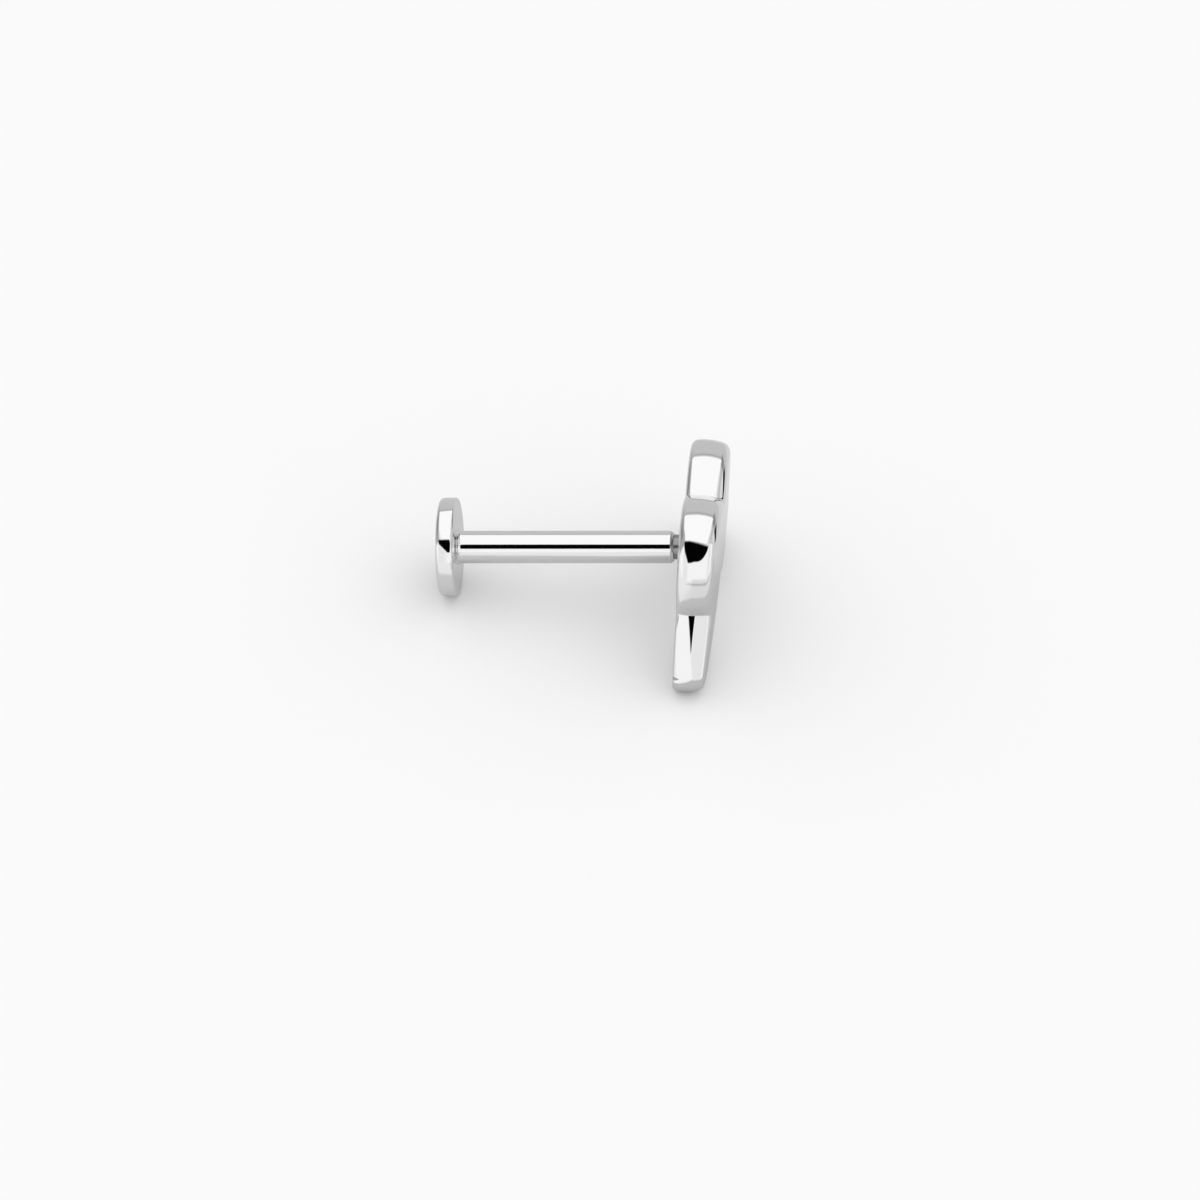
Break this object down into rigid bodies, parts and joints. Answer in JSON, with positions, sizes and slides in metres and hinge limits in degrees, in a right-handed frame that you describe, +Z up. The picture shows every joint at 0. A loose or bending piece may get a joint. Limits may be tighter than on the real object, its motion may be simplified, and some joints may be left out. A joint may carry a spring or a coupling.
{
  "type": "labret stud",
  "caption": "Polished steel labret stud: a domed butterfly head with a short neck, screwed into a round post that stands on a flat disc.",
  "frame": {"origin": "middle of the space the stud takes up, on the surface it lies on", "axes": "+X from the disc towards the butterfly head, with the post rising about 8 degrees that way; +Z up, the way the hind wings point; the XZ plane halves the stud"},
  "size_m": [0.0106, 0.0102, 0.0063],
  "materials": {
    "post_steel": "mirror polished surgical steel",
    "butterfly_steel": "mirror polished surgical steel"
  },
  "bodies": {
    "root": {"labret_post": "post_steel", "butterfly_head": "butterfly_steel"}
  },
  "joints": []
}
